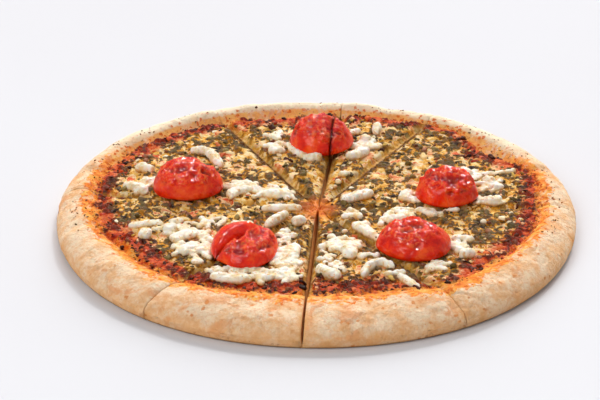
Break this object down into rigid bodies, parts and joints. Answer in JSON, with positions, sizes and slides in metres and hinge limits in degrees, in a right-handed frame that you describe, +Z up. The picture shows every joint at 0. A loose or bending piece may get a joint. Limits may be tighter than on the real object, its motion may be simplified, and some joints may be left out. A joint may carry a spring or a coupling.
{
  "type": "pesto pizza",
  "caption": "Round baked pizza cut into wedge slices that lie together, with a puffy pale rim, a green pesto topping, soft white cheese and baked tomato halves.",
  "frame": {"origin": "middle of the pizza's bounding box, on the plane it rests on", "axes": "+Z up through the pizza's thickness; +Y points away from the viewer of the picture and +X to the viewer's right"},
  "size_m": [0.2982, 0.2942, 0.0316],
  "materials": {
    "crust": "matte baked dough, pale and dusted with flour, with small brown spots",
    "topping": "baked tomato sauce, melted yellow cheese and dark green pesto, slightly oily",
    "tomato": "baked tomato, glossy skin and wet wrinkled flesh",
    "white_cheese": "soft white cheese, half melted, satin"
  },
  "bodies": {
    "root": {"slice1_crust": "crust", "slice1_topping": "topping", "slice1_tomato": "tomato", "slice1_cheese1": "white_cheese", "slice1_cheese2": "white_cheese", "slice1_cheese3": "white_cheese", "slice1_cheese4": "white_cheese", "slice1_cheese5": "white_cheese", "slice2_crust": "crust", "slice2_topping": "topping", "slice2_tomato": "tomato", "slice2_cheese1": "white_cheese", "slice2_cheese2": "white_cheese", "slice2_cheese3": "white_cheese", "slice3_crust": "crust", "slice3_topping": "topping", "slice3_tomato": "tomato", "slice3_cheese1": "white_cheese", "slice3_cheese2": "white_cheese", "slice4_crust": "crust", "slice4_topping": "topping", "slice4_tomato": "tomato", "slice4_cheese1": "white_cheese", "slice4_cheese2": "white_cheese", "slice4_cheese3": "white_cheese", "slice4_cheese4": "white_cheese", "slice4_cheese5": "white_cheese", "slice5_crust": "crust", "slice5_topping": "topping", "slice5_tomato": "tomato", "slice5_cheese1": "white_cheese", "slice5_cheese2": "white_cheese", "slice5_cheese3": "white_cheese", "slice5_cheese4": "white_cheese", "slice5_cheese5": "white_cheese", "slice5_cheese6": "white_cheese", "slice6_crust": "crust", "slice6_topping": "topping", "slice6_tomato": "tomato", "slice6_cheese1": "white_cheese", "slice6_cheese2": "white_cheese", "slice6_cheese3": "white_cheese", "slice7_crust": "crust", "slice7_topping": "topping", "slice7_cheese1": "white_cheese", "slice7_cheese2": "white_cheese", "slice7_cheese3": "white_cheese", "slice8_crust": "crust", "slice8_topping": "topping", "slice8_tomato": "tomato", "slice8_cheese1": "white_cheese", "slice8_cheese2": "white_cheese", "slice8_cheese3": "white_cheese"}
  },
  "joints": []
}
